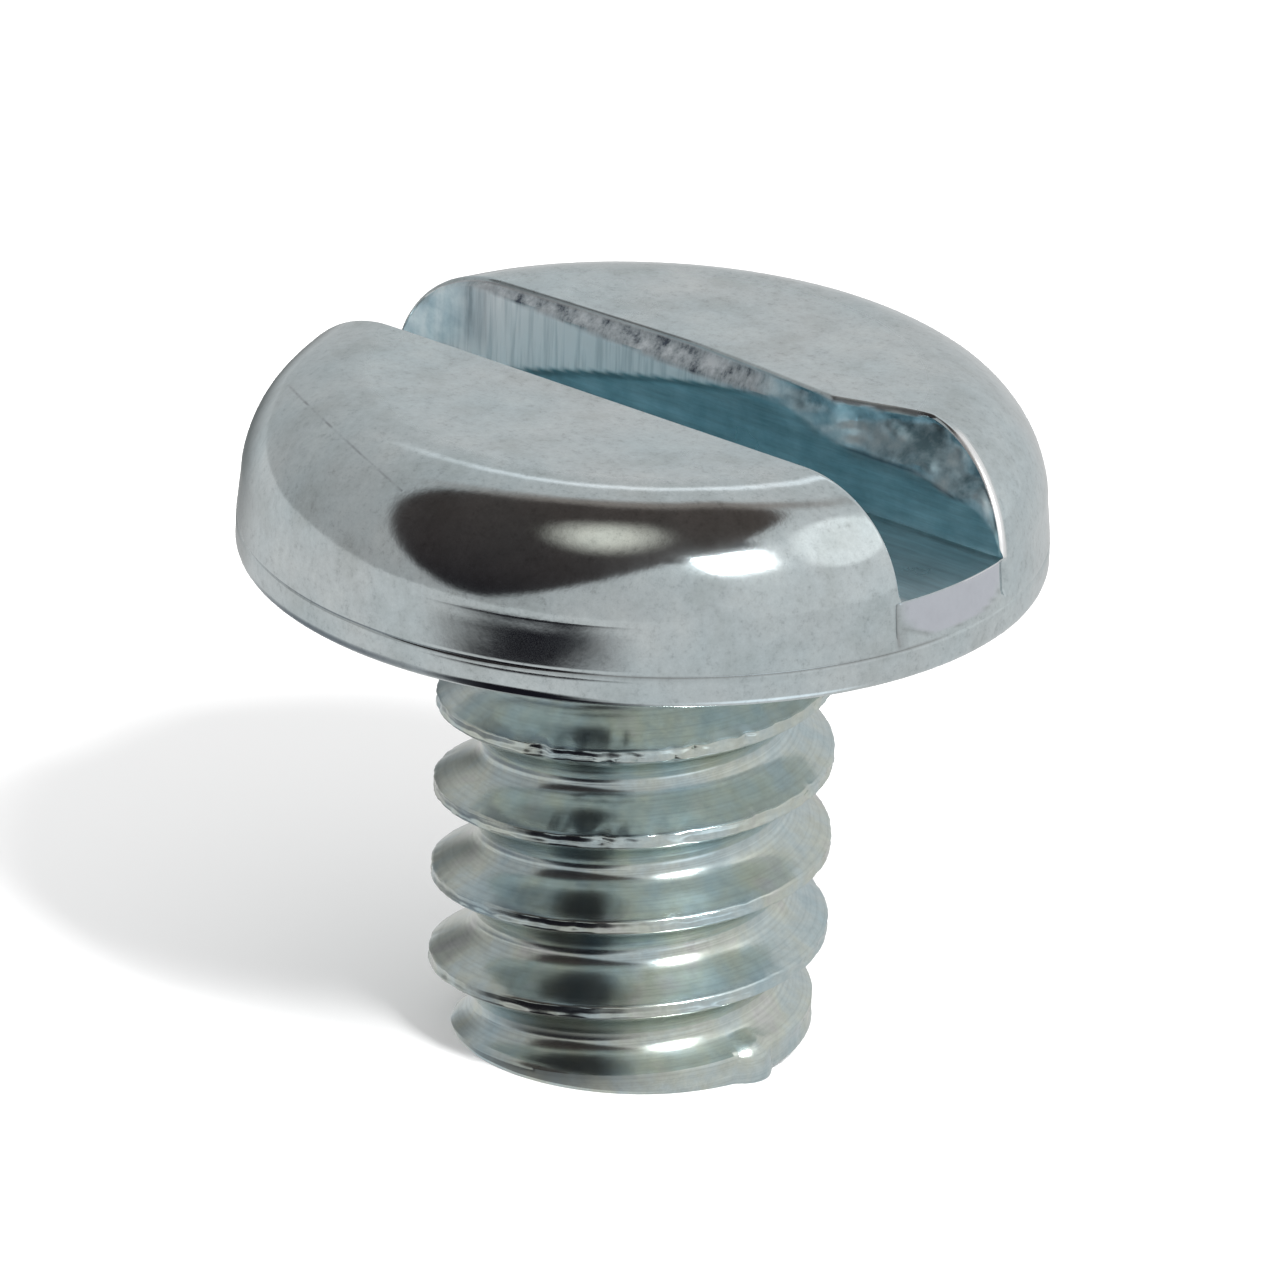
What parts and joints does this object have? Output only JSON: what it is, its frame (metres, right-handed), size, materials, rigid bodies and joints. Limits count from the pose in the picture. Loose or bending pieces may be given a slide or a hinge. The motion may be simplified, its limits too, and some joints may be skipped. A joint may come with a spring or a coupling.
{
  "type": "slotted pan head machine screw",
  "caption": "Short zinc plated machine screw with a round slotted pan head and a fully threaded shank ending in a blunt tapered tip.",
  "frame": {"origin": "centre of the tip's flat end face, where the axis leaves the screw", "axes": "+Z along the screw's axis from the tip towards the head; +X along the driving slot"},
  "size_m": [0.0094, 0.0094, 0.0081],
  "materials": {
    "zinc": "bright zinc plated steel, satin with worn and scuffed spots"
  },
  "bodies": {
    "root": {"screw": "zinc"}
  },
  "joints": []
}
